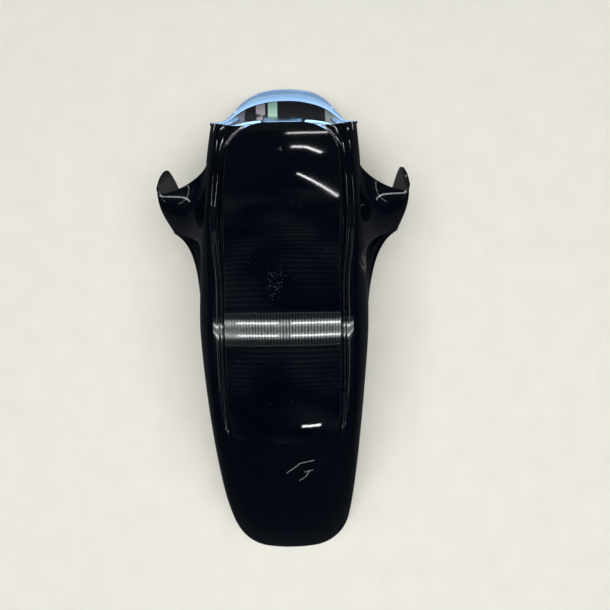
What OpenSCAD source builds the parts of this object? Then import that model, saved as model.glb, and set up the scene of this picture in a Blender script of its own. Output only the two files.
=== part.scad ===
// Front fender of a motorcycle: one moulded plastic shell.
// It lies hollow side down as on a table: nose to -Y, rear lip to +Y, +X to its right side.
// The shell is one surface of cross sections, given its wall along the surface normal.
// Two ears wrap round the outside of the fork legs, and two lugs hang inside them.

/* [Crown] */
// Radius of the crown line, which runs at an even gap over the tyre
crown_r = 330; // [300:1:360]
// Length over nose and rear lip
length = 564; // [520:1:620]
// Height of the crown above the ground the shell stands on
crown_h = 171.8; // [160:0.1:190]
// Wall of the moulding
wall = 3; // [2:0.1:5]
// How much faster than the crown the sections lean at the nose
nose_lean = 1.25; // [1:0.01:1.4]

/* [Body] */
// Half width in the middle
mid_w = 81.5; // [76:0.1:90]
// Half width at the nose
nose_w = 69; // [60:0.1:80]
// Half width at the fork notch, where the sides are flat
rear_w = 80; // [76:0.1:86]
// Depth of the rounded side, middle
mid_round = 34; // [20:0.5:45]
// Depth of the rounded side, nose
nose_round = 25; // [15:0.5:35]
// Depth of the rounded side, rear
rear_round = 19; // [10:0.5:30]
// Depth of the side below the crown in the middle
side_d = 52; // [40:1:70]
// Depth of the side below the crown at the nose
nose_d = 46; // [40:0.5:52]

/* [Raised panel] */
// Half width of the raised centre panel
panel_w = 52; // [40:0.5:60]
// Half width the panel grows to behind the fork
panel_rear_w = 55; // [45:0.5:62]
// Half width left of the panel where it meets the crease
panel_end_w = 18; // [8:1:40]
// Length over which the rear corners of the panel are rounded
panel_corner = 40; // [20:1:60]
// Height of the panel over the shoulder in the middle
step_mid = 1.2; // [0:0.1:4]
// Height of the panel over the shoulder at the rear
step_rear = 6; // [1:0.1:10]
// Depth of the groove below the shoulder
groove_d = 2; // [0:0.1:4]

/* [Rear flap] */
// Distance of the crease behind the middle
crease_y = 204; // [190:1:220]
// How far the corners sweep back behind the crease
corner_sweep = 7; // [0:0.5:15]
// Height of the outer edge of the rear lip
lip_z = 2.65; // [1:0.1:10]
// How far back the hollow of the flap is steered, as a share of its length
flap_run = 0.63; // [0.4:0.01:0.8]
// How high it is steered there, as a share of its drop
flap_foot = 0.105; // [0:0.005:0.5]

/* [Fork ears] */
// Distance of the ear plates from the middle plane
ear_x = 128.5; // [120:0.5:135]
// Row where the flared front edge meets the ear
ear_y = 97; // [85:1:110]
// Height of the front tip of the ear
ear_z = 60; // [50:1:80]
// Row where the wing ends at the notch for the fork leg
notch_y = 160; // [140:1:170]
// Lean of the fork legs from upright
fork_lean = 22; // [15:0.5:30]

/* [Lugs] */
// Diameter of the screw holes
hole_d = 6.6; // [5:0.1:9]
// Distance between the two holes of a lug, along the fork leg
hole_gap = 40; // [30:1:50]
// Row of the upper hole
hole_y = 188; // [176:1:194]
// Height of the upper hole
hole_z = 76; // [66:1:84]
// Height of the lower end of a lug
lug_z = 22; // [15:1:40]

/* [Mesh] */
// Rows from nose to middle
rows_nose = 18; // [10:1:24]
// Rows along the flared front edge of the wings
rows_flare = 9; // [6:1:12]
// Rows round the ears
rows_ear = 15; // [8:1:18]
// Rows from the notch to the crease
rows_rear = 7; // [4:1:10]
// Rows of the flap
rows_flap = 6; // [4:1:10]

/* [Hidden] */
arc_z = crown_h - crown_r;
nose_a = asin(length / 2 / crown_r);
last_wing = rows_nose + rows_flare + rows_ear;
last_row = last_wing + rows_rear;
panel_steps = [0.22, 0.45, 0.68, 0.87, 1];
nr = 4;
groove_n = 4;
top_n = 8 + groove_n + nr;
wing_n = 6;
ear_n = 3;
side_n = wing_n + ear_n;
lug_n = 5;
C = top_n + side_n;
D = top_n + lug_n;

// Blending
function mix(a, b, t) = a + (b - a) * t;
function ease(t) = let (u = min(1, max(0, t))) u * u * (3 - 2 * u);
function ramp(y, y0, y1) = ease((y - y0) / (y1 - y0));
function bezier(a, b, c, d, t) =
    let (s = 1 - t) s * s * s * a + 3 * s * s * t * b + 3 * s * t * t * c + t * t * t * d;

// Body laws along the crown line, y is the row
function angle(y) = asin(y / crown_r);
function lean(y) = y < 0 ? nose_lean * angle(y) : 0;
function half_w(y) =
    y > 0 ? mix(mid_w, rear_w, ramp(y, 0, 130))
    : let (t = sqrt(pow(angle(y) / nose_a, 2) + 0.003) - 0.055)
      mid_w - (mid_w - nose_w) * min(1, t * (1.94 - 0.88 * t));
function round_w(y) = y > 0 ? mix(58, 68, ramp(y, 20, 110)) : mix(58, 28, ramp(-y, 40, 260));
function round_d(y) =
    y > 0 ? mix(mid_round, rear_round, ramp(y, 20, 150)) : mix(mid_round, nose_round, ramp(-y, 60, 270));
function root_a(y) = y < 100 ? mix(70, 42, ramp(y, 0, 80)) : mix(42, 60, ramp(y, 160, 204));
function crown_k(y) = mix(0.0009, 0.0022, ramp(-y, 80, 280));
function panel_in(y) =
    y < 0 ? mix(panel_w, 42, ramp(-y, 60, 200))
    : let (w = mix(panel_w, panel_rear_w, ramp(y, 20, 120)), u = (y - crease_y + panel_corner) / panel_corner)
      u <= 0 ? w : panel_end_w + (w - panel_end_w) * sqrt(max(0, 1 - u * u));
function panel_out(y) = y < 0 ? panel_in(y) + 6.5 : mix(panel_w + 6.5, 69, ramp(y, 20, 110));
function step_h(y) = step_mid * ramp(y, -220, -40) + (step_rear - step_mid) * ramp(y, -20, 140);
function groove(y) = groove_d * (0.9 * ramp(y, -220, -40) + 0.3 * ramp(y, 0, 120));
function rim_w(y) = min(7, (panel_out(y) - panel_in(y)) / 2);

// Depth of the section under the crown line at half width x, a is the angle round the side
function drop(y, x, a) =
    let (u = (x - panel_in(y)) / (panel_out(y) - panel_in(y)), v = (x - panel_in(y)) / rim_w(y))
    crown_k(y) * x * x + step_h(y) * ease(v) + (u > 0 && u < 1 ? groove(y) * 16 * u * u * (1 - u) * (1 - u) : 0)
    + round_d(y) * (1 - cos(a));

// Point of the section of row y: x across, d under the crown line
function place(y, x, d) =
    [x,
     y - d * sin(lean(y)) + corner_sweep * pow(abs(x) / rear_w, 6) * ramp(y, notch_y - 10, crease_y),
     arc_z + crown_r * cos(angle(y)) - d * cos(lean(y))];

// Half widths of the section, from the middle to the root line of the side
function side_a(y, x) = x <= round_w(y) ? 0 : asin(min(1, (x - round_w(y)) / (half_w(y) - round_w(y))));
function across(y, j) =
    j <= 5 ? (j == 0 ? 0 : panel_in(y) * panel_steps[j - 1])
    : j <= 8 ? panel_in(y) + rim_w(y) * [0.35, 0.7, 1][j - 6]
    : j <= 8 + groove_n ? mix(panel_in(y) + rim_w(y), panel_out(y), (j - 8) / groove_n)
    : let (a = mix(side_a(y, panel_out(y)), root_a(y), (j - 8 - groove_n) / nr))
      round_w(y) + (half_w(y) - round_w(y)) * sin(a);
function top_point(y, j) =
    let (x = across(y, abs(j))) place(y, sign(j) * x, drop(y, x, side_a(y, x)));
function root_tangent(y) =
    let (a = root_a(y), w = half_w(y) - round_w(y), t = [w * cos(a), round_d(y) * sin(a)])
    [t[0], -t[1] * sin(lean(y)), -t[1] * cos(lean(y))] / norm(t);

// Lower edge of the side, then the flared front edge and the rim of the ear, s runs 0 to 1 over the wing
function side_edge(y, up) =
    let (d = mix(side_d, nose_d, ramp(-y, 150, 285))) place(y, half_w(y) + 0.2, d - up);
front_edge = [[mid_w + 0.2, 0, crown_h - side_d], [85, 32, crown_h - side_d],
              [96, 80, 68], [ear_x - 3.5, ear_y - 1, ear_z]];
rim_path = [[0, [ear_y, ear_z]], [0.1, [108, 50]], [0.22, [124, 38]], [0.34, [139, 27]], [0.41, [146, 26]],
            [0.47, [150, 32]], [0.6, [156, 50]], [0.72, [160, 67]], [0.79, [161, 80]], [0.83, [158, 87]],
            [0.9, [148, 102]], [1, [134, 114]]];
function rim_at(t, k) = lookup(t, [for (p = rim_path) [p[0], p[1][k]]]);
function edge_point(s) =
    s < 0.5 ? bezier(front_edge[0], front_edge[1], front_edge[2], front_edge[3], s * 2)
    : let (t = s * 2 - 1) [mix(ear_x - 3.5, ear_x, min(1, t * 8)), rim_at(t, 0), rim_at(t, 1)];
function fold_point(s) =
    s < 0.5 ? edge_point(s) + [0, mix(0, -1, s * 2), 4]
    : bezier([ear_x - 3.5, ear_y - 2, ear_z + 4], [ear_x, ear_y + 10, ear_z + 28],
             [ear_x, ear_y + 14, ear_z + 57], [ear_x - 1.5, ear_y + 31, ear_z + 57], s * 2 - 1);

// Side of a row up to the notch: from the root down the side or out over the wing, then down the ear
function side_point(y, q) =
    let (s = min(1, max(0, y / notch_y)),
         r = top_point(y, top_n),
         e = y <= 0 ? side_edge(y, 4) : fold_point(s),
         b = y <= 0 ? side_edge(y, 0) : edge_point(s),
         up = [0, sin(lean(y)), cos(lean(y))],
         w = ramp(s, 0, 0.45),
         c1 = r + root_tangent(y) * mix(9, mix(15, 4, ramp(s, 0.6, 1)), w) + [0, -13 * ramp(s, 0.65, 1), 0],
         c2 = e + mix(9 * up, [-20, mix(-6, -3, s), 4 - 3 * s], w))
    q <= wing_n ? bezier(r, c1, c2, e, q / wing_n) : mix(e, b, (q - wing_n) / ear_n);

// Lug behind the notch: the side goes on straight down to a rounded end
function lug_point(y, b) =
    let (t = (y - notch_y) / (crease_y - notch_y),
         low = lug_z + 26 * pow(abs(2 * t - 1), 3),
         a = mix(root_a(y), 90, min(1, b / 2)),
         x = round_w(y) + (half_w(y) - round_w(y)) * sin(a),
         p = place(y, x, drop(y, x, a)),
         q = place(y, rear_w, drop(y, rear_w, 90)),
         r = top_point(y, top_n))
    b <= 2 ? [x, r[1], p[2]] : [rear_w, r[1], mix(q[2], low, (b - 2) / (lug_n - 2))];

function mirrored(p, j) = j < 0 ? [-p[0], p[1], p[2]] : p;
function row_y(i) =
    i <= rows_nose ? crown_r * sin(-nose_a * (1 - i / rows_nose))
    : i <= rows_nose + rows_flare ? notch_y / 2 * (i - rows_nose) / rows_flare
    : i <= last_wing ? notch_y / 2 * (1 + (i - rows_nose - rows_flare) / rows_ear)
    : notch_y + (crease_y - notch_y) * sin(90 * (i - last_wing) / rows_rear);
function flap_x(t) = bezier(0, 70, 52, rear_w, t);
function flap_t(x, lo = 0, hi = 1, n = 16) =
    let (m = (lo + hi) / 2) n == 0 ? m : flap_x(m) < x ? flap_t(x, m, hi, n - 1) : flap_t(x, lo, m, n - 1);

// Outer surface: front body with wings, rear body with lugs, flap
front = [for (i = [0:last_wing]) let (y = row_y(i))
    [for (j = [-C:C]) abs(j) <= top_n ? top_point(y, j) : mirrored(side_point(y, abs(j) - top_n), j)]];
rear = [for (i = [last_wing:last_row]) let (y = row_y(i))
    [for (j = [-D:D]) abs(j) <= top_n ? top_point(y, j) : mirrored(lug_point(y, abs(j) - top_n), j)]];
corner = rear[rows_rear][D + top_n];
function lip_point(x) =
    let (t = flap_t(min(rear_w, x * rear_w / corner[0])))
    [bezier(0, 70, 52, corner[0] + 0.5, t), bezier(length / 2, length / 2, 220, corner[1] + 3, t),
     bezier(lip_z, lip_z, 46, corner[2] - 2.5, t)];
function flap_point(m, j) =
    let (c = rear[rows_rear][D + abs(j)], l = lip_point(c[0]), t = m / rows_flap,
         top = rear[rows_rear][D][2],
         smooth = [c[0], c[1], mix(top, corner[2], pow(c[0] / corner[0], 2.4))],
         mid = [mix(c[0], l[0], 0.5), mix(c[1], l[1], flap_run), mix(l[2], smooth[2], flap_foot)])
    mirrored((1 - t) * (1 - t) * smooth + 2 * t * (1 - t) * mid + t * t * l + pow(1 - t, 4) * (c - smooth), j);
flap = [for (m = [0:rows_flap]) [for (j = [-top_n:top_n]) flap_point(m, j)]];

// Unit normals, pointing out of the shell
function unit(v) = v / norm(v);
function grid_normal(g, i, j, i0, i1) =
    unit(cross(g[i][min(j + 1, len(g[i]) - 1)] - g[i][max(j - 1, 0)],
               g[min(i + 1, i1)][j] - g[max(i - 1, i0)][j]));
function miter(a, b) = (a + b) / (1 + a * b);
front_n = [for (i = [0:last_wing]) [for (j = [0:2 * C]) grid_normal(front, i, j, 0, last_wing)]];
rear_n = [for (i = [0:rows_rear]) [for (j = [0:2 * D]) grid_normal(rear, i, j, 0, rows_rear)]];
flap_n = [for (m = [0:rows_flap]) [for (j = [0:2 * top_n]) grid_normal(flap, m, j, 0, rows_flap)]];
join_n = [for (j = [-C:C]) abs(j) < top_n ? unit(front_n[last_wing][j + C] + rear_n[0][j + D])
    : front_n[last_wing][j + C]];
crease_n = [for (j = [-D:D]) abs(j) < top_n ? miter(rear_n[rows_rear][j + D], flap_n[0][j + top_n])
    : rear_n[rows_rear][j + D]];

// Points and normals in one list
function flat(g) = [for (r = g) each r];
function rows(g, a, b) = [for (i = [a:1:b]) g[i]];
function lug_front(g) = [for (j = [top_n + 1:D]) g[0][j + D], for (j = [top_n + 1:D]) g[0][D - j]];
outer = concat(flat(front), flat(rows(rear, 1, rows_rear)), lug_front(rear), flat(rows(flap, 1, rows_flap)));
normals = concat(flat(rows(front_n, 0, last_wing - 1)), join_n, flat(rows(rear_n, 1, rows_rear - 1)), crease_n,
                 lug_front(rear_n), flat(rows(flap_n, 1, rows_flap)));
inner = [for (k = [0:len(outer) - 1]) outer[k] - wall * normals[k]];

// Index of a point by row and place across
rear_0 = (last_wing + 1) * (2 * C + 1);
lug_0 = rear_0 + rows_rear * (2 * D + 1);
flap_0 = lug_0 + 2 * lug_n;
function at_front(i, j) = i * (2 * C + 1) + j + C;
function at_rear(i, j) =
    i > 0 ? rear_0 + (i - 1) * (2 * D + 1) + j + D
    : abs(j) <= top_n ? at_front(last_wing, j)
    : lug_0 + (j > 0 ? 0 : lug_n) + abs(j) - top_n - 1;
function at_flap(m, j) = m > 0 ? flap_0 + (m - 1) * (2 * top_n + 1) + j + top_n : at_rear(rows_rear, j);

// Two triangles for a mesh square, its diagonal the same on both sides of the shell
function square(a, b, c, d, j) = j < 0 ? [[a, b, d], [b, c, d]] : [[a, b, c], [a, c, d]];
sheet = [
    for (i = [0:last_wing - 1]) for (j = [-C:C - 1])
        each square(at_front(i, j), at_front(i + 1, j), at_front(i + 1, j + 1), at_front(i, j + 1), j),
    for (i = [0:rows_rear - 1]) for (j = [-D:D - 1])
        each square(at_rear(i, j), at_rear(i + 1, j), at_rear(i + 1, j + 1), at_rear(i, j + 1), j),
    for (m = [0:rows_flap - 1]) for (j = [-top_n:top_n - 1])
        each square(at_flap(m, j), at_flap(m + 1, j), at_flap(m + 1, j + 1), at_flap(m, j + 1), j)];

// Free edge once round the shell, where the outer and inner surfaces are joined
right_edge = [
    for (i = [1:last_wing]) at_front(i, C),
    for (j = [C - 1:-1:top_n]) at_front(last_wing, j),
    for (j = [top_n + 1:D]) at_rear(0, j),
    for (i = [1:rows_rear]) at_rear(i, D),
    for (j = [D - 1:-1:top_n]) at_rear(rows_rear, j),
    for (m = [1:rows_flap]) at_flap(m, top_n)];
left_edge = [
    for (m = [rows_flap:-1:1]) at_flap(m, -top_n),
    for (j = [-top_n:-1:1 - D]) at_rear(rows_rear, j),
    for (i = [rows_rear:-1:1]) at_rear(i, -D),
    for (j = [-D:-top_n - 1]) at_rear(0, j),
    for (j = [-top_n:-1:1 - C]) at_front(last_wing, j),
    for (i = [last_wing:-1:1]) at_front(i, -C)];
edge = concat([for (j = [-C:C]) at_front(0, j)], right_edge,
              [for (j = [top_n - 1:-1:1 - top_n]) at_flap(rows_flap, j)], left_edge);
n_out = len(outer);
rim = [for (k = [0:len(edge) - 1]) let (a = edge[k], b = edge[(k + 1) % len(edge)])
    each [[a, b, b + n_out], [a, b + n_out, a + n_out]]];

module shell() {
    polyhedron(points = concat(outer, inner),
               faces = concat(sheet, [for (f = sheet) [f[2] + n_out, f[1] + n_out, f[0] + n_out]], rim),
               convexity = 10);
}

// Screw hole through the lugs, k steps down the fork leg from the upper one
module screw_hole(side, k) {
    translate([side * (rear_w - wall - 1), hole_y - k * hole_gap * sin(fork_lean),
               hole_z - k * hole_gap * cos(fork_lean)])
        rotate([0, side * 90, 0])
            cylinder(d = hole_d, h = wall + 2, $fn = 48);
}

module fender_shell() {
    color([0.04, 0.04, 0.05])
        difference() {
            shell();
            for (side = [-1, 1]) for (k = [0, 1]) screw_hole(side, k);
        }
}

fender_shell();
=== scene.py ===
from math import asin, atan2, cos, hypot, pi, radians, sin, sqrt

import bpy
from mathutils import Matrix, Vector
from mathutils.kdtree import KDTree


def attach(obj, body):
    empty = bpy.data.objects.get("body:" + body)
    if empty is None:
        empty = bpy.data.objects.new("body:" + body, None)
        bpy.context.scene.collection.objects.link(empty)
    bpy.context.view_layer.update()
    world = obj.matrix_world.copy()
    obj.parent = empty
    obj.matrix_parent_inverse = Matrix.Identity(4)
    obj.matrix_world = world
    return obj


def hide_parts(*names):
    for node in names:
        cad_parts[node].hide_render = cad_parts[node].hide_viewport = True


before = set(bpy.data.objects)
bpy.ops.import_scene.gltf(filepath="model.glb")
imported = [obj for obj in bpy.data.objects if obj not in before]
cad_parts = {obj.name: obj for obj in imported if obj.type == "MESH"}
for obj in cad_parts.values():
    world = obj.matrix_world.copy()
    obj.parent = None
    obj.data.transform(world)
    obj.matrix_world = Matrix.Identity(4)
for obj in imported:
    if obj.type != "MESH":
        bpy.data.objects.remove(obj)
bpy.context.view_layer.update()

bpy.ops.object.select_all(action="DESELECT")

# Fender shell
# One moulded plastic shell that covers a front tyre, 3 mm thick all over, painted gloss black.
# It follows the same cross sections as the solid, in much finer steps, because every ripple
# of a black gloss surface shows in its reflections. Lengths here are in millimetres.
MM = 0.001
CROWN_R, LENGTH, CROWN_H, WALL = 330, 564, 171.8, 3
NOSE_LEAN = 1.25
MID_W, NOSE_W, REAR_W = 81.5, 69, 80
MID_ROUND, NOSE_ROUND, REAR_ROUND = 34, 25, 19
SIDE_D, NOSE_D = 52, 46
PANEL_W, PANEL_REAR_W, PANEL_END_W, PANEL_CORNER = 52, 55, 18, 40
STEP_MID, STEP_REAR, GROOVE_D = 1.2, 6, 2
CREASE_Y, CORNER_SWEEP, LIP_Z, FLAP_RUN, FLAP_FOOT = 204, 7, 2.65, 0.63, 0.105
EAR_X, EAR_Y, EAR_Z, NOTCH_Y = 128.5, 97, 60, 160
LUG_Z = 22
ARC_Z = CROWN_H - CROWN_R
NOSE_A = asin(LENGTH / 2 / CROWN_R)

# cells of the mesh: along the fender, then from the middle line out to one side
NOSE_ROWS, FLARE_ROWS, EAR_ROWS, REAR_ROWS, FLAP_ROWS = 64, 26, 44, 24, 20
PANEL_CELLS, RIM_CELLS, GROOVE_CELLS, ROUND_CELLS = 14, 8, 10, 12
WING_CELLS, FOLD_CELLS, EAR_CELLS = 18, 6, 10
LUG_ROUND_CELLS, LUG_FLAT_CELLS = 4, 8
TOP_CELLS = PANEL_CELLS + RIM_CELLS + GROOVE_CELLS + ROUND_CELLS
FRONT_CELLS = TOP_CELLS + WING_CELLS + FOLD_CELLS + EAR_CELLS
REAR_CELLS = TOP_CELLS + LUG_ROUND_CELLS + LUG_FLAT_CELLS
FRONT_ROWS = NOSE_ROWS + FLARE_ROWS + EAR_ROWS


def mix(a, b, t):
    return a + (b - a) * t


def ramp(y, low, high):
    t = min(1.0, max(0.0, (y - low) / (high - low)))
    return t * t * (3 - 2 * t)


def bezier(a, b, c, d, t):
    s = 1 - t
    return s * s * s * a + 3 * s * s * t * b + 3 * s * t * t * c + t * t * t * d


def lean(y):
    return NOSE_LEAN * asin(y / CROWN_R) if y < 0 else 0.0


def half_w(y):
    if y > 0:
        return mix(MID_W, REAR_W, ramp(y, 0, 130))
    t = sqrt((asin(y / CROWN_R) / NOSE_A) ** 2 + 0.003) - 0.055
    return MID_W - (MID_W - NOSE_W) * min(1, t * (1.94 - 0.88 * t))


def round_w(y):
    return mix(58, 68, ramp(y, 20, 110)) if y > 0 else mix(58, 28, ramp(-y, 40, 260))


def round_d(y):
    if y > 0:
        return mix(MID_ROUND, REAR_ROUND, ramp(y, 20, 150))
    return mix(MID_ROUND, NOSE_ROUND, ramp(-y, 60, 270))


def root_a(y):
    return radians(mix(70, 42, ramp(y, 0, 80)) if y < 100 else mix(42, 60, ramp(y, 160, 204)))


def panel_in(y):
    if y < 0:
        return mix(PANEL_W, 42, ramp(-y, 60, 200))
    w = mix(PANEL_W, PANEL_REAR_W, ramp(y, 20, 120))
    u = (y - CREASE_Y + PANEL_CORNER) / PANEL_CORNER
    return w if u <= 0 else PANEL_END_W + (w - PANEL_END_W) * sqrt(max(0, 1 - u * u))


def panel_out(y):
    return panel_in(y) + 6.5 if y < 0 else mix(PANEL_W + 6.5, 69, ramp(y, 20, 110))


def step_h(y):
    return STEP_MID * ramp(y, -220, -40) + (STEP_REAR - STEP_MID) * ramp(y, -20, 140)


def groove_h(y):
    return GROOVE_D * (0.9 * ramp(y, -220, -40) + 0.3 * ramp(y, 0, 120))


def rim_w(y):
    return min(7, (panel_out(y) - panel_in(y)) / 2)


def drop(y, x, a):
    """Depth of the section under the crown line at half width x, a is the angle round the side."""
    u = (x - panel_in(y)) / (panel_out(y) - panel_in(y))
    d = mix(0.0009, 0.0022, ramp(-y, 80, 280)) * x * x
    d += step_h(y) * ramp(x, panel_in(y), panel_in(y) + rim_w(y)) + round_d(y) * (1 - cos(a))
    return d + groove_h(y) * 16 * u * u * (1 - u) * (1 - u) if 0 < u < 1 else d


def place(y, x, d):
    """Point of the section of row y, x across and d under the crown line."""
    sweep = CORNER_SWEEP * (abs(x) / REAR_W) ** 6 * ramp(y, NOTCH_Y - 10, CREASE_Y)
    return Vector((x, y - d * sin(lean(y)) + sweep,
                   ARC_Z + CROWN_R * cos(asin(y / CROWN_R)) - d * cos(lean(y))))


def side_a(y, x):
    return 0.0 if x <= round_w(y) else asin(min(1, (x - round_w(y)) / (half_w(y) - round_w(y))))


def top_point(y, cell):
    """Point of the roof of the section: panel, its rim, the groove beside it, the rounded side."""
    rim_end, out = panel_in(y) + rim_w(y), panel_out(y)
    k = cell
    if k <= PANEL_CELLS:
        x = panel_in(y) * sin(pi / 2 * k / PANEL_CELLS) ** 0.9 if k else 0.0
    elif k - PANEL_CELLS <= RIM_CELLS:
        x = mix(panel_in(y), rim_end, (k - PANEL_CELLS) / RIM_CELLS)
    elif k - PANEL_CELLS - RIM_CELLS <= GROOVE_CELLS:
        x = mix(rim_end, out, (k - PANEL_CELLS - RIM_CELLS) / GROOVE_CELLS)
    else:
        a = mix(side_a(y, out), root_a(y), (k - TOP_CELLS + ROUND_CELLS) / ROUND_CELLS)
        x = round_w(y) + (half_w(y) - round_w(y)) * sin(a)
    return place(y, x, drop(y, x, side_a(y, x)))


# lower edge of the flared front of the wing, then the rim of the ear as row and height
FLARE = [Vector(p) for p in ((MID_W + 0.2, 0, CROWN_H - SIDE_D), (85, 32, CROWN_H - SIDE_D),
                             (96, 80, 68), (EAR_X - 3.5, EAR_Y - 1, EAR_Z))]
EAR_RIM = [(0, EAR_Y, EAR_Z), (0.1, 108, 50), (0.22, 124, 38), (0.34, 139, 27), (0.41, 146, 26),
           (0.47, 150, 32), (0.6, 156, 50), (0.72, 160, 67), (0.79, 161, 80), (0.83, 158, 87),
           (0.9, 148, 102), (1, 134, 114)]


def ear_rim(t):
    """Smooth curve through the rim's points."""
    n = len(EAR_RIM) - 1
    i = max(k for k in range(n) if EAR_RIM[k][0] <= t)
    p = [EAR_RIM[min(n, max(0, i + k))] for k in (-1, 0, 1, 2)]
    u = (t - p[1][0]) / (p[2][0] - p[1][0])
    out = []
    for axis in (1, 2):
        a, b, c, d = (q[axis] for q in p)
        h = p[2][0] - p[1][0]
        mb = (c - a) / max(p[2][0] - p[0][0], 1e-6) * h
        mc = (d - b) / max(p[3][0] - p[1][0], 1e-6) * h
        out.append((2 * u ** 3 - 3 * u * u + 1) * b + (u ** 3 - 2 * u * u + u) * mb
                   + (3 * u * u - 2 * u ** 3) * c + (u ** 3 - u * u) * mc)
    return out


def wing_edge(s):
    if s < 0.5:
        return bezier(*FLARE, s * 2)
    t = s * 2 - 1
    return Vector((mix(EAR_X - 3.5, EAR_X, min(1, t * 8)), *ear_rim(t)))


def wing_fold(s):
    if s < 0.5:
        return wing_edge(s) + Vector((0, mix(0, -1, s * 2), 4))
    curve = ((EAR_X - 3.5, EAR_Y - 2, EAR_Z + 4), (EAR_X, EAR_Y + 10, EAR_Z + 28),
             (EAR_X, EAR_Y + 14, EAR_Z + 57), (EAR_X - 1.5, EAR_Y + 31, EAR_Z + 57))
    return bezier(*[Vector(p) for p in curve], s * 2 - 1)


def side_row(y):
    """The side of one row: from the roof down the flank, or out over the wing and down the ear."""
    s = min(1, max(0, y / NOTCH_Y))
    root = top_point(y, TOP_CELLS)
    up = Vector((0, sin(lean(y)), cos(lean(y))))
    depth = mix(SIDE_D, NOSE_D, ramp(-y, 150, 285))
    fold = place(y, half_w(y) + 0.2, depth - 4) if y <= 0 else wing_fold(s)
    edge = place(y, half_w(y) + 0.2, depth) if y <= 0 else wing_edge(s)
    a, w = root_a(y), half_w(y) - round_w(y)
    along = Vector((w * cos(a), 0, 0)) - round_d(y) * sin(a) * up
    along /= sqrt((w * cos(a)) ** 2 + (round_d(y) * sin(a)) ** 2)
    wing = ramp(s, 0, 0.45)
    reach = mix(9, mix(15, 4, ramp(s, 0.6, 1)), wing)
    c1 = root + along * reach + Vector((0, -13 * ramp(s, 0.65, 1), 0))
    c2 = fold + mix(9 * up, Vector((-20, mix(-6, -3, s), 4 - 3 * s)), wing)
    rest = edge - fold
    r = min(6.0, 0.45 * rest.length)
    turn = 1 - r / max(3 * (fold - c2).length, 2 * r)
    points = [bezier(root, c1, c2, fold, turn * k / WING_CELLS) for k in range(1, WING_CELLS + 1)]
    start, end = points[-1], fold + rest.normalized() * r
    for k in range(1, FOLD_CELLS + 1):
        u = k / FOLD_CELLS
        points.append((1 - u) ** 2 * start + 2 * u * (1 - u) * fold + u * u * end)
    points += [mix(end, edge, k / EAR_CELLS) for k in range(1, EAR_CELLS + 1)]
    return points


def lug_row(y):
    """The side of one row behind the fork leg: round the shoulder, then straight down the lug."""
    t = (y - NOTCH_Y) / (CREASE_Y - NOTCH_Y)
    low = LUG_Z + 26 * abs(2 * t - 1) ** 3
    root = top_point(y, TOP_CELLS)
    shoulder = place(y, REAR_W, drop(y, REAR_W, pi / 2))
    points = []
    for k in range(1, LUG_ROUND_CELLS + 1):
        a = mix(root_a(y), pi / 2, k / LUG_ROUND_CELLS)
        x = round_w(y) + (half_w(y) - round_w(y)) * sin(a)
        points.append(Vector((x, root.y, place(y, x, drop(y, x, a)).z)))
    for k in range(1, LUG_FLAT_CELLS + 1):
        points.append(Vector((REAR_W, root.y, mix(shoulder.z, low, k / LUG_FLAT_CELLS))))
    return points


def row_y(i):
    if i <= NOSE_ROWS:
        return -CROWN_R * sin(NOSE_A * (1 - i / NOSE_ROWS))
    if i <= NOSE_ROWS + FLARE_ROWS:
        return NOTCH_Y / 2 * (i - NOSE_ROWS) / FLARE_ROWS
    if i <= FRONT_ROWS:
        return NOTCH_Y / 2 * (1 + (i - NOSE_ROWS - FLARE_ROWS) / EAR_ROWS)
    return NOTCH_Y + (CREASE_Y - NOTCH_Y) * sin(pi / 2 * (i - FRONT_ROWS) / REAR_ROWS)


def roof_row(y):
    return [top_point(y, k) for k in range(TOP_CELLS + 1)]


STEP_FADE = 14          # the panel's step dies out at once behind the crease
crease = roof_row(CREASE_Y)
corner, crease_top = crease[-1], crease[0].z


def lip_point(x):
    """Point of the rear lip below the crease point at half width x."""
    goal, low, high = min(REAR_W, x * REAR_W / corner.x), 0.0, 1.0
    for _ in range(30):
        t = (low + high) / 2
        low, high = (t, high) if bezier(0, 70, 52, REAR_W, t) < goal else (low, t)
    return Vector((bezier(0, 70, 52, corner.x + 0.5, t),
                   bezier(LENGTH / 2, LENGTH / 2, 220, corner.y + 3, t),
                   bezier(LIP_Z, LIP_Z, 46, corner.z - 2.5, t)))


def flap_row(m):
    """A row of the scooped flap, m = 0 at the crease."""
    t = (m / FLAP_ROWS) ** 1.5
    row = []
    for c in crease:
        end = lip_point(c.x)
        smooth = Vector((c.x, c.y, mix(crease_top, corner.z, (c.x / corner.x) ** 2.4)))
        mid = Vector((mix(c.x, end.x, 0.5), mix(c.y, end.y, FLAP_RUN), mix(end.z, smooth.z, FLAP_FOOT)))
        row.append((1 - t) ** 2 * smooth + 2 * t * (1 - t) * mid + t * t * end
                   + (1 - t) ** STEP_FADE * (c - smooth))
    return row


def add_sheet(name, rows):
    """A grid of quads bent to the rows, each given from the middle line out to the right edge."""
    across, along = len(rows[0]) - 1, len(rows) - 1
    bpy.ops.mesh.primitive_grid_add(x_subdivisions=2 * across, y_subdivisions=along, size=2)
    sheet = bpy.context.object
    sheet.name = name
    for v in sheet.data.vertices:
        cell = round((v.co.x + 1) * across) - across
        p = rows[round((v.co.y + 1) / 2 * along)][abs(cell)]
        v.co = Vector((-p.x if cell < 0 else p.x, p.y, p.z)) * MM
    return sheet


front_rows = [roof_row(y) + side_row(y) for y in map(row_y, range(FRONT_ROWS + 1))]
rear_rows = [roof_row(y) + lug_row(y) for y in map(row_y, range(FRONT_ROWS, FRONT_ROWS + REAR_ROWS + 1))]
sheets = [add_sheet("fender", front_rows), add_sheet("rear", rear_rows),
          add_sheet("flap", [flap_row(m) for m in range(FLAP_ROWS + 1)])]

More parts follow.
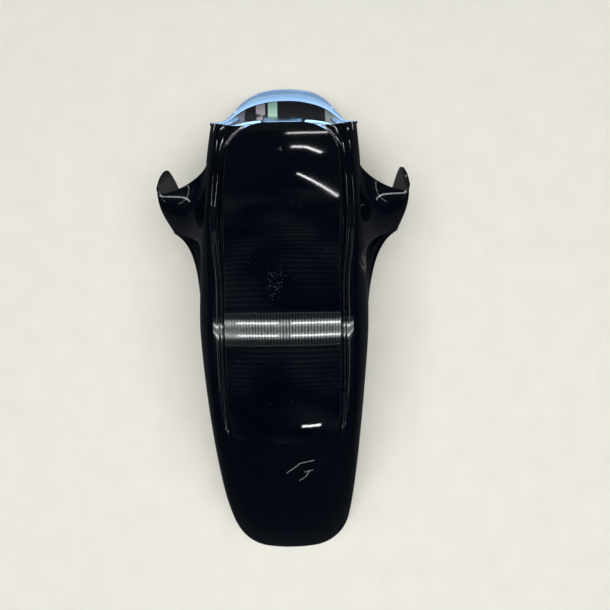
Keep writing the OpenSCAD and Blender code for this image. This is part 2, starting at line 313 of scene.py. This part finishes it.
bpy.ops.object.select_all(action="DESELECT")
for sheet in sheets:
    sheet.select_set(True)
fender = sheets[0]
bpy.context.view_layer.objects.active = fender
bpy.ops.object.join()
bpy.ops.object.mode_set(mode="EDIT")
bpy.ops.mesh.select_all(action="SELECT")
bpy.ops.mesh.remove_doubles(threshold=0.00001)
bpy.ops.mesh.select_all(action="DESELECT")
bpy.ops.mesh.select_non_manifold()
bpy.ops.object.mode_set(mode="OBJECT")
free_edge = [v.co.copy() for v in fender.data.vertices if v.select]
edge_tree = KDTree(len(free_edge))
for k, p in enumerate(free_edge):
    edge_tree.insert(p, k)
edge_tree.balance()


def apply_modifier(piece, kind, **settings):
    m = piece.modifiers.new(kind.title(), kind)
    for key, value in settings.items():
        setattr(m, key, value)
    bpy.context.view_layer.objects.active = piece
    bpy.ops.object.modifier_apply(modifier=m.name)


def new_material(name):
    m = bpy.data.materials.new(name)
    m.use_nodes = True
    return m


paint = new_material("gloss_black_paint")
bare = new_material("bare_grey_moulding")
fender.data.materials.append(paint)
fender.data.materials.append(bare)

apply_modifier(fender, "SOLIDIFY", thickness=WALL * MM, offset=-1, use_even_offset=True,
               use_quality_normals=True, material_offset=1, material_offset_rim=0)

# two screw holes through each lug, drilled square to it along the lean of the fork leg
HOLE_D, HOLE_GAP, HOLE_Y, HOLE_Z, FORK_LEAN = 6.6, 40, 188, 76, radians(22)
drills = []
for side in (-1, 1):
    for k in (0, 1):
        bpy.ops.mesh.primitive_cylinder_add(
            vertices=48, radius=HOLE_D / 2 * MM, depth=(WALL + 3) * MM, rotation=(0, pi / 2, 0),
            location=(side * (REAR_W - WALL / 2) * MM, (HOLE_Y - k * HOLE_GAP * sin(FORK_LEAN)) * MM,
                      (HOLE_Z - k * HOLE_GAP * cos(FORK_LEAN)) * MM))
        drills.append(bpy.context.object)
bpy.ops.object.select_all(action="DESELECT")
for drill in drills:
    drill.select_set(True)
bpy.context.view_layer.objects.active = drills[0]
bpy.ops.object.join()
apply_modifier(fender, "BOOLEAN", object=drills[0], operation="DIFFERENCE", solver="EXACT")
bpy.data.objects.remove(drills[0])
EDGE_ROUND = 0.8
apply_modifier(fender, "BEVEL", width=EDGE_ROUND * MM, segments=2, limit_method="ANGLE",
               angle_limit=radians(60))

bpy.ops.object.select_all(action="DESELECT")
fender.select_set(True)
bpy.context.view_layer.objects.active = fender
bpy.ops.object.shade_smooth_by_angle(angle=radians(50))

# how far each point is from the free edge, in mm, for wear and overspray
from_edge = fender.data.attributes.new("from_edge", "FLOAT", "POINT")
for k, v in enumerate(fender.data.vertices):
    from_edge.data[k].value = edge_tree.find(v.co)[2] / MM

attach(fender, "root")
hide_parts("fender_shell")


def node(tree, kind, *inputs, out=0, **settings):
    """Adds a shader node, wires or sets its first inputs, and returns the wanted output."""
    n = tree.nodes.new("ShaderNode" + kind)
    for key, value in settings.items():
        setattr(n, key, value)
    for socket, value in zip([s for s in n.inputs if s.enabled], inputs):
        if isinstance(value, bpy.types.NodeSocket):
            tree.links.new(value, socket)
        elif value is not None:
            socket.default_value = value
    return n.outputs[out]


def calc(tree, operation, *values, clamp=False):
    return node(tree, "Math", *values, operation=operation, use_clamp=clamp)


def vector(tree, operation, *values, out=0):
    return node(tree, "VectorMath", *values, operation=operation, out=out)


def fade(tree, value, start, end):
    """1 where the value is at start, 0 at end, smooth between."""
    n = tree.nodes.new("ShaderNodeMapRange")
    n.interpolation_type = "SMOOTHSTEP"
    tree.links.new(value, n.inputs["Value"])
    n.inputs["From Min"].default_value, n.inputs["From Max"].default_value = start, end
    n.inputs["To Min"].default_value, n.inputs["To Max"].default_value = 1, 0
    return n.outputs["Result"]


def noise(tree, point, scale, detail=2.0):
    return node(tree, "TexNoise", point, scale, detail)


def mixed(tree, mask, a, b):
    """Colour a where the mask is 0, b where it is 1."""
    n = tree.nodes.new("ShaderNodeMix")
    n.data_type = "RGBA"
    for socket, value in ((n.inputs[0], mask), (n.inputs[6], a), (n.inputs[7], b)):
        if isinstance(value, bpy.types.NodeSocket):
            tree.links.new(value, socket)
        else:
            socket.default_value = value
    return n.outputs[2]


def layers(tree, masks):
    """The strongest of several masks."""
    top = masks[0]
    for m in masks[1:]:
        top = calc(tree, "MAXIMUM", top, m)
    return top


# Gloss black paint: clear lacquer over black. It has faint orange peel, the slow ripple of the
# moulding under it, a film of dust, hairline scratches, scuffed edges, a smudge and five light grey
# lines on the nose.
tree = paint.node_tree
shader = tree.nodes["Principled BSDF"]
shader.inputs["IOR"].default_value = 1.5
where = node(tree, "TexCoord", out=3)
edge = node(tree, "Attribute", attribute_name="from_edge", out=2)


def line_mask(start, end, width):
    """Mask of a straight line between two points of the plan, in mm."""
    flat = vector(tree, "MULTIPLY", where, (1000, 1000, 0))
    run = (end[0] - start[0], end[1] - start[1], 0)
    rel = vector(tree, "SUBTRACT", flat, (*start, 0))
    along = calc(tree, "DIVIDE", vector(tree, "DOT_PRODUCT", rel, run, out=1),
                 run[0] ** 2 + run[1] ** 2, clamp=True)
    near = node(tree, "VectorMath", run, operation="SCALE")
    tree.links.new(along, near.node.inputs["Scale"])
    return fade(tree, vector(tree, "DISTANCE", rel, near, out=1), width * 0.5, width)


def blot(centre, radius, squash=(1, 1, 1)):
    """Distance from a point in mm, divided by the radius."""
    rel = vector(tree, "MULTIPLY", vector(tree, "SUBTRACT", where, [c * MM for c in centre]),
                 [s / radius / MM for s in squash])
    return vector(tree, "LENGTH", rel, out=1)


# five thin lines on the nose, lighter and rougher than the paint and slightly sunken, as start and end
# points in mm
NOSE_LINES = [((0.5, -148.5), (12.0, -139.5)), ((11.5, -138.5), (26.5, -135.0)),
                  ((12.5, -158.0), (18.5, -153.5)), ((18.5, -153.5), (21.8, -147.5)),
                  ((17.5, -148.0), (25.3, -146.0))]
LINE_W, DUST_SHARE, DUST_SHARE_IN_PATCH = 0.42, 0.004, 0.6
nose_lines = layers(tree, [line_mask(a, b, LINE_W) for a, b in NOSE_LINES])
# specks of dust: thinly everywhere, thickly in one patch on the crown
grit = node(tree, "TexVoronoi", where, 900.0)
grit_pick = node(tree, "SeparateXYZ", grit.node.outputs["Color"])
patch = fade(tree, blot((-6, 34, 168), 20, (1.7, 1, 1)), 0.2, 1.0)
share = calc(tree, "ADD", calc(tree, "MULTIPLY", patch, DUST_SHARE_IN_PATCH), DUST_SHARE)
speck = calc(tree, "MULTIPLY", fade(tree, grit, 0.16, 0.34), calc(tree, "LESS_THAN", grit_pick, share))
# a smudge on the right flank, scuffs along the edges, a film of dust and hairlines
smudge = calc(tree, "MULTIPLY", fade(tree, blot((77, 52, 143), 13, (1.2, 0.8, 0.7)), 0.1, 1.0),
              fade(tree, noise(tree, where, 300.0, 5.0), 0.66, 0.40))
wear = calc(tree, "MULTIPLY", fade(tree, edge, 0.3, 1.1),
            fade(tree, noise(tree, where, 90.0, 6.0), 0.62, 0.5))
film = fade(tree, noise(tree, where, 9.0, 5.0), 0.62, 0.40)
hair = node(tree, "TexVoronoi", vector(tree, "ADD", where, noise(tree, where, 12.0)), 16.0,
            feature="DISTANCE_TO_EDGE")
hairline = calc(tree, "MULTIPLY", fade(tree, hair, 0.0, 0.003),
                fade(tree, noise(tree, where, 40.0), 0.62, 0.5))

black = mixed(tree, film, (0.0004, 0.0017, 0.0042, 1), (0.0012, 0.0026, 0.0050, 1))
tone = mixed(tree, calc(tree, "MULTIPLY", speck, 0.16), black, (0.30, 0.29, 0.27, 1))
tone = mixed(tree, calc(tree, "MULTIPLY", smudge, 0.8), tone, (0.22, 0.23, 0.24, 1))
tone = mixed(tree, calc(tree, "MULTIPLY", nose_lines, 0.6), tone, (0.42, 0.42, 0.41, 1))
tone = mixed(tree, calc(tree, "MULTIPLY", wear, 0.5), tone, (0.045, 0.045, 0.045, 1))
tree.links.new(tone, shader.inputs["Base Color"])

rough = calc(tree, "MULTIPLY_ADD", film, 0.035, 0.03)
for mask, amount in ((speck, 0.4), (smudge, 0.35), (nose_lines, 0.4), (wear, 0.3), (hairline, 0.10)):
    rough = calc(tree, "MULTIPLY_ADD", mask, amount, rough)
tree.links.new(rough, shader.inputs["Roughness"])

# heights in metres: the round mark, the ripple of the moulding, orange peel, dust and the lines on the
# nose
dent = calc(tree, "MULTIPLY", fade(tree, blot((0, 169, 127), 3.9), 0.4, 1.0), -0.00030)
height = calc(tree, "MULTIPLY_ADD", noise(tree, where, 13.0, 1.0), 0.00016, dent)
height = calc(tree, "MULTIPLY_ADD", noise(tree, where, 330.0, 1.0), 0.0000045, height)
height = calc(tree, "MULTIPLY_ADD", speck, 0.00003, height)
height = calc(tree, "MULTIPLY_ADD", nose_lines, -0.00003, height)
tree.links.new(node(tree, "Bump", 1.0, 1.0, None, height).node.outputs[0], shader.inputs["Normal"])

# Bare moulding inside: matt charcoal plastic with a fine grain, black overspray along the edges
tree = bare.node_tree
shader = tree.nodes["Principled BSDF"]
where = node(tree, "TexCoord", out=3)
edge = node(tree, "Attribute", attribute_name="from_edge", out=2)
mist = calc(tree, "MULTIPLY_ADD", noise(tree, where, 60.0, 6.0), 16.0, -3.0)
spray = fade(tree, calc(tree, "SUBTRACT", edge, mist), -3.0, 3.0)
cloud = noise(tree, where, 25.0, 5.0)
moulded = mixed(tree, cloud, (0.070, 0.070, 0.066, 1), (0.105, 0.104, 0.098, 1))
tree.links.new(mixed(tree, spray, moulded, (0.012, 0.012, 0.013, 1)), shader.inputs["Base Color"])
tree.links.new(calc(tree, "MULTIPLY_ADD", spray, -0.22, calc(tree, "MULTIPLY_ADD", cloud, 0.15, 0.5)),
               shader.inputs["Roughness"])
grain = calc(tree, "MULTIPLY", noise(tree, where, 1400.0, 3.0), 0.00005)
tree.links.new(node(tree, "Bump", 1.0, 1.0, None, grain).node.outputs[0], shader.inputs["Normal"])

# Studio
# A pale plain table and one broad soft light overhead. The lamps, the cards and the ceiling are
# there for the black gloss surface to show as reflections, and they light nothing else.
bpy.ops.mesh.primitive_plane_add(size=9, location=(0, 0, 0))
table = bpy.context.object
table.name = "table"
top = new_material("pale_table")
table.data.materials.append(top)
tree = top.node_tree
shader = tree.nodes["Principled BSDF"]
where = node(tree, "TexCoord", out=3)
pale = mixed(tree, noise(tree, where, 30.0, 8.0), (0.77, 0.765, 0.715, 1), (0.85, 0.845, 0.80, 1))
tree.links.new(pale, shader.inputs["Base Color"])
shader.inputs["Roughness"].default_value = 0.6
shader.inputs["Specular IOR Level"].default_value = 0.0
# painted shade: to glossy rays the table is a dim glowing sheet in place of the lit table, standing for
# the shade round the fender, and darkest in front of the nose
nose_shade_mask = fade(tree, node(tree, "SeparateXYZ", where, out=1), -0.28, -0.10)
painted_table_shade = mixed(tree, nose_shade_mask, (0.05, 0.052, 0.055, 1), (0.014, 0.016, 0.02, 1))
painted_shade_glow = node(tree, "Emission", painted_table_shade, 1.0)
both = node(tree, "MixShader", node(tree, "LightPath", out=3), shader.outputs[0], painted_shade_glow)
tree.links.new(both, tree.nodes["Material Output"].inputs["Surface"])


def add_light(name, location, width, length, radiance, colour=(1, 1, 1), turn=(0, 0, 0),
              diffuse=False, glossy=True):
    """An area light of a given radiance, unturned facing down, unseen by the camera."""
    light = bpy.data.lights.new(name, "AREA")
    light.shape = "RECTANGLE"
    light.size, light.size_y = width, length
    light.energy = radiance * pi * width * length
    light.color = colour
    lamp = bpy.data.objects.new(name, light)
    bpy.context.scene.collection.objects.link(lamp)
    lamp.location, lamp.rotation_euler = location, turn
    lamp.visible_diffuse, lamp.visible_glossy, lamp.visible_camera = diffuse, glossy, False
    return lamp


add_light("soft_light", (0.1, -0.3, 2.4), 3.7, 3.0, 2.75, colour=(1, 0.985, 0.95),
          diffuse=True, glossy=False)
TUBE_Y, TUBE_Z, TUBE_W, TUBE_RADIANCE = (-0.109, -0.310), 2.17, 0.025, 16
for name, x0, x1 in (("tube_left", -0.64, -0.145), ("tube_right", 0.004, 1.5), ("tube_far", -2.0, -0.8)):
    for k, y in enumerate(TUBE_Y):
        add_light(f"{name}_{k}", ((x0 + x1) / 2, y, TUBE_Z), x1 - x0, TUBE_W, TUBE_RADIANCE)


def add_bar(name, start, end, width, radiance):
    """A straight lamp between two points that faces the fender."""
    start, end = Vector(start), Vector(end)
    along, back = (end - start).normalized(), (start + end) / 2 - Vector((0, 0, 0.12))
    back = (back - back.dot(along) * along).normalized()
    lamp = add_light(name, (start + end) / 2, (end - start).length, width, radiance)
    lamp.rotation_euler = Matrix((along, back.cross(along), back)).transposed().to_euler()


add_bar("lamp_rear", (0.141, 4.75, 2.25), (0.849, 3.054, 2.25), 0.05, 26)
add_bar("lamp_back_0", (0.0, 3.05, 0.62), (0.18, 3.05, 0.62), 0.05, 20)
add_bar("lamp_back_1", (0.18, 3.05, 0.62), (0.38, 3.0, 0.78), 0.05, 20)
add_bar("lamp_low", (-0.06, 3.0, 0.155), (0.36, 3.0, 0.115), 0.03, 16)
add_bar("lamp_front", (0.14, -2.44, 2.17), (0.45, -2.44, 2.17), 0.06, 24)
for x in (-1.3, 1.3):
    add_bar(f"lamp_side_{x > 0:d}", (x, -2.6, 2.2), (x, 2.6, 2.2), 0.05, 7)

# a low blue card close behind the lip, so low that the crown never shows it, and faint patches
# of room on the table, which only the flap and the ends of the grooves show
add_light("card_blue", (0, 0.303, 0.02), 0.15, 0.04, 8.0, colour=(0.36, 0.62, 1.0),
          turn=(radians(-90), 0, 0))
for name, x0, x1, y0, y1, radiance, colour in (
        ("card_green", -0.025, -0.012, 0.282, 0.299, 1.7, (0.62, 1.0, 0.82)),
        ("card_grey", -0.042, -0.029, 0.284, 0.299, 1.0, (0.95, 0.92, 1.0)),
        ("card_left", -0.085, -0.058, 0.272, 0.297, 0.45, (0.8, 0.82, 1.0)),
        ("card_right", 0.055, 0.085, 0.272, 0.297, 0.7, (0.85, 1.0, 0.97)),
        ("card_line", -0.25, 0.25, 0.42, 0.445, 9.0, (1, 1, 1))):
    add_light(name, ((x0 + x1) / 2, (y0 + y1) / 2, 0.001), x1 - x0, y1 - y0, radiance,
              colour=colour, turn=(pi, 0, 0))

# the ceiling: a bright ribbed grid round the twin tubes, and dim slats everywhere else
bpy.ops.mesh.primitive_plane_add(size=7, location=(0, 0, 2.3), rotation=(pi, 0, 0))
ceiling = bpy.context.object
ceiling.name = "ceiling"
bpy.ops.object.transform_apply(location=False, rotation=True, scale=True)
ceiling.visible_camera = ceiling.visible_diffuse = ceiling.visible_shadow = False
glow = new_material("ceiling")
ceiling.data.materials.append(glow)
tree = glow.node_tree
where = node(tree, "TexCoord", out=3)
across, along = (node(tree, "SeparateXYZ", where, out=k) for k in (0, 1))
# brightness of the grid: ribs across it, a glow at each tube and a weaker one between the tubes
RIB_PITCH, SLAT_PITCH, GRID_MIDDLE, TUBE_OFF, GRID_HALF = 0.038, 0.1, 0.225, 0.107, 0.285
ribs = fade(tree, calc(tree, "PINGPONG", across, RIB_PITCH / 2), 0.006, 0.013)
ribs = calc(tree, "MULTIPLY_ADD", ribs, 0.8, 0.2)
off = calc(tree, "ABSOLUTE", calc(tree, "ADD", along, GRID_MIDDLE))
halo = fade(tree, calc(tree, "ABSOLUTE", calc(tree, "SUBTRACT", off, TUBE_OFF)), 0.0, 0.10)
halo = calc(tree, "MULTIPLY_ADD", calc(tree, "POWER", halo, 2.0), 13.0, 0.5)
halo = calc(tree, "MULTIPLY_ADD", fade(tree, off, 0.04, 0.14), 4.0, halo)
grid_glow = calc(tree, "MULTIPLY", ribs, halo)
slats = fade(tree, calc(tree, "PINGPONG", along, SLAT_PITCH / 2), 0.012, 0.03)
dim = calc(tree, "MULTIPLY", calc(tree, "MULTIPLY_ADD", slats, 0.13, 0.07),
           fade(tree, noise(tree, where, 0.9, 1.0), 0.70, 0.35))
in_grid = calc(tree, "LESS_THAN", off, GRID_HALF)
bright = mixed(tree, in_grid, (0.86, 0.94, 1.0, 1), (0.93, 1.0, 0.96, 1))
power = node(tree, "Mix", in_grid, dim, grid_glow)
edge_gap = calc(tree, "ABSOLUTE", calc(tree, "SUBTRACT", off, GRID_HALF - 0.002))
frame_line = fade(tree, edge_gap, 0.004, 0.007)
power = calc(tree, "MULTIPLY_ADD", frame_line, 0.8, power)
tree.links.new(node(tree, "Emission", bright, power), tree.nodes["Material Output"].inputs["Surface"])

# a dark room, as the gloss shows it, pale to the camera
world = bpy.data.worlds.new("room")
bpy.context.scene.world = world
world.use_nodes = True
tree = world.node_tree
back = mixed(tree, node(tree, "LightPath"), (0.012, 0.014, 0.020, 1), (0.76, 0.755, 0.71, 1))
tree.links.new(back, tree.nodes["Background"].inputs["Color"])

# The camera looks straight down from 600 mm over the table, turned by 0.9 degrees
FOCAL_PX, FRAME_PX, SENSOR = 480, 610, 36
camera_data = bpy.data.cameras.new("camera")
camera_data.sensor_width, camera_data.lens = SENSOR, FOCAL_PX / FRAME_PX * SENSOR
camera = bpy.data.objects.new("camera", camera_data)
camera.location = (0.02021, 0.01318, 0.600)
camera.rotation_euler = (0, 0, radians(-0.9))
bpy.context.scene.collection.objects.link(camera)
bpy.context.scene.camera = camera
bpy.context.scene.view_settings.view_transform = "Standard"
